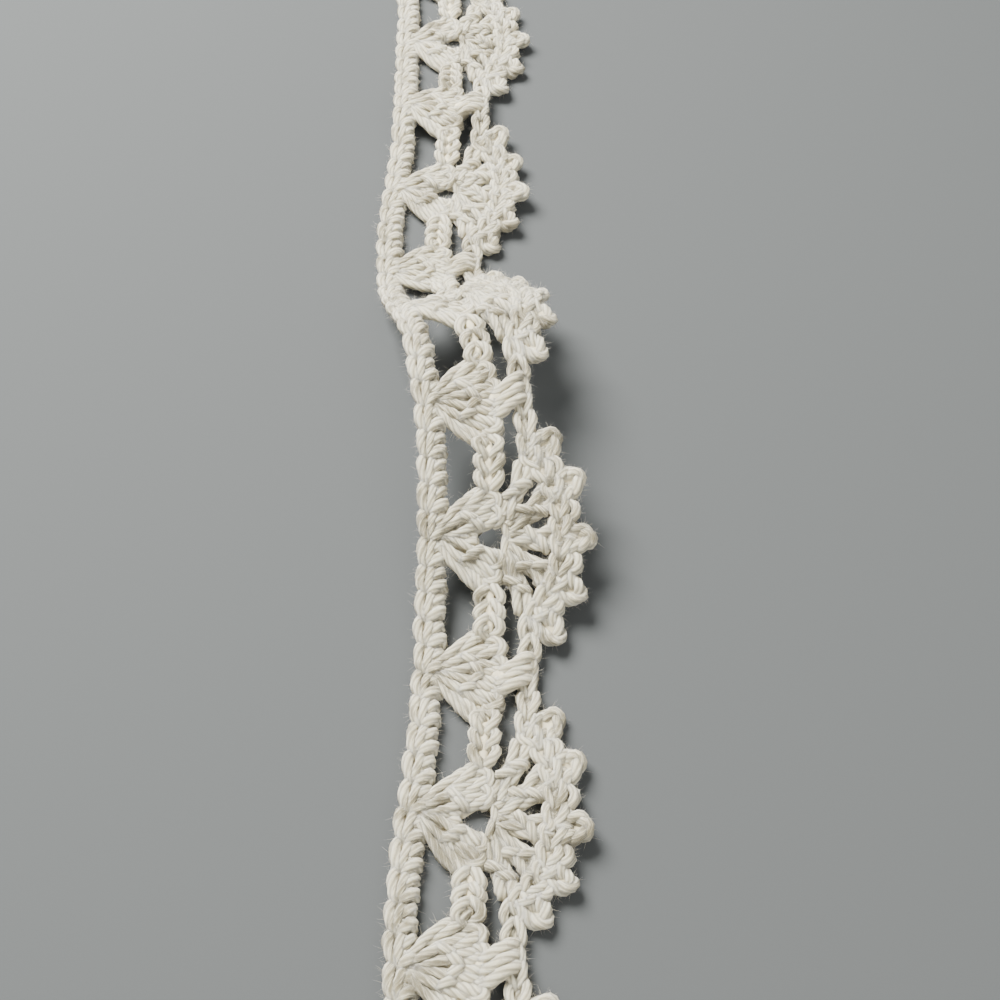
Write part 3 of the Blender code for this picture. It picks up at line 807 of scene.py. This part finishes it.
def backs_cotton_painted_shade(settings):
    """The same yarn on the hidden side of the stitches, partly darkened towards the deeper ivory of the
    grooves as painted shade in the gaps between the strands.
    """
    material, tree, shader = matt_material("stitch_backs_in_painted_shade", 0.9, 0.2)
    place = add(tree, "ShaderNodeTexCoord").outputs["Object"]
    # Loops of about 1.3 mm yarn, packed without order
    loops = add(tree, "ShaderNodeTexVoronoi", {"Vector": place, "Scale": 750.0}, feature="SMOOTH_F1")
    # Painted shade: darker between the loops, up to 0.4 of the way to the grooves' shade colour
    shade = add(tree, "ShaderNodeMapRange", {"Value": loops, "From Max": 0.5, "To Min": 0.05, "To Max": 0.4})
    colour = add(tree, "ShaderNodeMix",
                 {0: shade, 6: linear(settings.cotton), 7: linear(settings.cotton_painted_shade)}, data_type="RGBA")
    tree.links.new(colour.outputs[2], shader.inputs["Base Color"])
    relief = add(tree, "ShaderNodeBump", {"Height": loops, "Strength": 0.8, "Distance": 0.4 * MM},
                 invert=True)
    tree.links.new(relief.outputs[0], shader.inputs["Normal"])
    return material


def backdrop_paper(settings):
    """Matt backdrop paper: even, with a faint tooth of about 0.3 mm."""
    material, tree, shader = matt_material("matt_backdrop_paper", 0.9, 0.2)
    shader.inputs["Base Color"].default_value = linear(settings.floor)
    place = add(tree, "ShaderNodeTexCoord").outputs["Object"]
    tooth = add(tree, NOISE, {"Vector": place, "Scale": 3000.0, "Detail": 2.0}).outputs["Fac"]
    relief = add(tree, "ShaderNodeBump", {"Height": tooth, "Strength": 0.2, "Distance": 0.05 * MM})
    tree.links.new(relief.outputs[0], shader.inputs["Normal"])
    return material


# Operators

class LACE_OT_heading(bpy.types.Operator):
    """Work the straight row of single crochet along the trim"""

    bl_idname = "lace.heading"
    bl_label = "Heading"

    def execute(self, context):
        count = round(LENGTH / HEADING_PITCH)
        start = FIRST_SHELL - HEADING_END
        stitched(context, "heading", heading_stitch(), start, LENGTH / count, count)
        return {"FINISHED"}


class LACE_OT_shells(bpy.types.Operator):
    """Work the shells that carry the fans, the plain shells between them, and the bars"""

    bl_idname = "lace.shells"
    bl_label = "Shells"

    def execute(self, context):
        yarn = context.scene.lace_trim.yarn
        stitched(context, "fan_shells", fan_shell(yarn), FIRST_FAN * REPEAT, REPEAT, FANS)
        stitched(context, "plain_shells", plain_shell(yarn), FIRST_SHELL, REPEAT, FANS + 1)
        return {"FINISHED"}


class LACE_OT_fans(bpy.types.Operator):
    """Work the rays of the fans"""

    bl_idname = "lace.fans"
    bl_label = "Fans"

    def execute(self, context):
        yarn = context.scene.lace_trim.yarn
        stitched(context, "fan_rays", fan_rays(yarn), FIRST_FAN * REPEAT, REPEAT, FANS)
        return {"FINISHED"}


class LACE_OT_rims(bpy.types.Operator):
    """Work the rims, the picots and the chains that tie the fans down"""

    bl_idname = "lace.rims"
    bl_label = "Rims and Picots"

    def execute(self, context):
        yarn = context.scene.lace_trim.yarn
        stitched(context, "picot_rims", fan_rim(yarn), FIRST_FAN * REPEAT, REPEAT, FANS)
        return {"FINISHED"}


class LACE_OT_backs(bpy.types.Operator):
    bl_idname = "lace.backs"
    bl_label = "Stitch Backs"

    def execute(self, context):
        work = bmesh.new()
        work.from_mesh(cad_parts[NODE].data)
        bmesh.ops.remove_doubles(work, verts=work.verts, dist=SAME_PLACE)
        covered = sum(face.calc_area() * max(face.normal.z, 0.0) for face in work.faces)
        work.normal_update()
        places = [vert.co - vert.normal * BACK_INSET for vert in work.verts]
        for vert, place in zip(work.verts, places):
            vert.co = place
        mesh = bpy.data.meshes.new("stitch_backs")
        work.to_mesh(mesh)
        work.free()
        mesh.shade_smooth()
        # The sheet behind the strands carries painted shade for the gaps between them
        mesh.materials.append(backs_cotton_painted_shade(context.scene.lace_trim))
        item = in_scene("stitch_backs", mesh)
        belongs(item)
        return {"FINISHED"}


class LACE_OT_fuzz(bpy.types.Operator):
    """Let loose fibre ends stand off the yarn"""

    bl_idname = "lace.fuzz"
    bl_label = "Cotton Fuzz"

    def execute(self, context):
        settings = context.scene.lace_trim
        tree = loose_fibres_tree()
        for name, seed, yarn_pieces in FUZZ:
            work = bmesh.new()
            for piece in yarn_pieces:
                work.from_mesh(bpy.data.objects[piece].data)
            mesh = bpy.data.meshes.new(name)
            work.to_mesh(mesh)
            work.free()
            item = in_scene(name, mesh)
            apply_tree(item, tree, {
                "Density": float(settings.fibres), "Length": settings.fibre, "Thickness": FIBRE_THICKNESS,
                "Seed": seed, "Material": combed_cotton(settings)})
            belongs(item)
        return {"FINISHED"}


class LACE_OT_stage(bpy.types.Operator):
    """Set the floor, the soft light and the camera"""

    bl_idname = "lace.stage"
    bl_label = "Stage"

    def execute(self, context):
        settings = context.scene.lace_trim
        bpy.ops.mesh.primitive_plane_add(size=FLOOR_SIZE)
        floor = context.object
        floor.name = "floor"
        floor.data.materials.append(backdrop_paper(settings))

        world = bpy.data.worlds.new("studio")
        world.use_nodes = True
        world.node_tree.nodes["Background"].inputs[0].default_value = linear(WORLD[0])
        world.node_tree.nodes["Background"].inputs[1].default_value = WORLD[1]
        context.scene.world = world
        for name, place, size, watts in LIGHTS:
            data = bpy.data.lights.new(name, "AREA")
            data.shape = "DISK"
            data.size = size
            data.energy = watts
            lamp = in_scene(name, data)
            lamp.location = place
            lamp.rotation_euler = (-Vector(place)).to_track_quat("-Z", "Y").to_euler()

        camera = in_scene("camera", bpy.data.cameras.new("camera"))
        camera.data.lens = LENS
        back = Vector((0.0, -math.cos(settings.elevation), math.sin(settings.elevation)))
        camera.location = AIM + back * settings.distance
        camera.rotation_euler = (-back).to_track_quat("-Z", "Y").to_euler()
        camera.data.clip_start = CLIP_START
        context.scene.camera = camera
        return {"FINISHED"}


class LACE_PT_panel(bpy.types.Panel):
    """Lists the trim's settings and the steps that build it"""

    bl_idname = "LACE_PT_panel"
    bl_label = "Lace Trim"
    bl_space_type = "VIEW_3D"
    bl_region_type = "UI"
    bl_category = "Lace Trim"

    def draw(self, context):
        for name in LaceTrimSettings.__annotations__:
            self.layout.prop(context.scene.lace_trim, name)
        for step in STEPS:
            self.layout.operator(step.bl_idname)


STEPS = (LACE_OT_heading, LACE_OT_shells, LACE_OT_fans, LACE_OT_rims, LACE_OT_backs, LACE_OT_fuzz,
         LACE_OT_stage)
CLASSES = (LaceTrimSettings, *STEPS, LACE_PT_panel)


def register():
    for item in CLASSES:
        bpy.utils.register_class(item)
    bpy.types.Scene.lace_trim = bpy.props.PointerProperty(type=LaceTrimSettings)


def unregister():
    del bpy.types.Scene.lace_trim
    for item in reversed(CLASSES):
        bpy.utils.unregister_class(item)


def main():
    register()
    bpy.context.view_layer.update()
    bpy.ops.lace.heading()
    bpy.ops.lace.shells()
    bpy.ops.lace.fans()
    bpy.ops.lace.rims()
    bpy.ops.lace.backs()
    bpy.ops.lace.fuzz()
    bpy.ops.lace.stage()


if __name__ == "__main__":
    main()
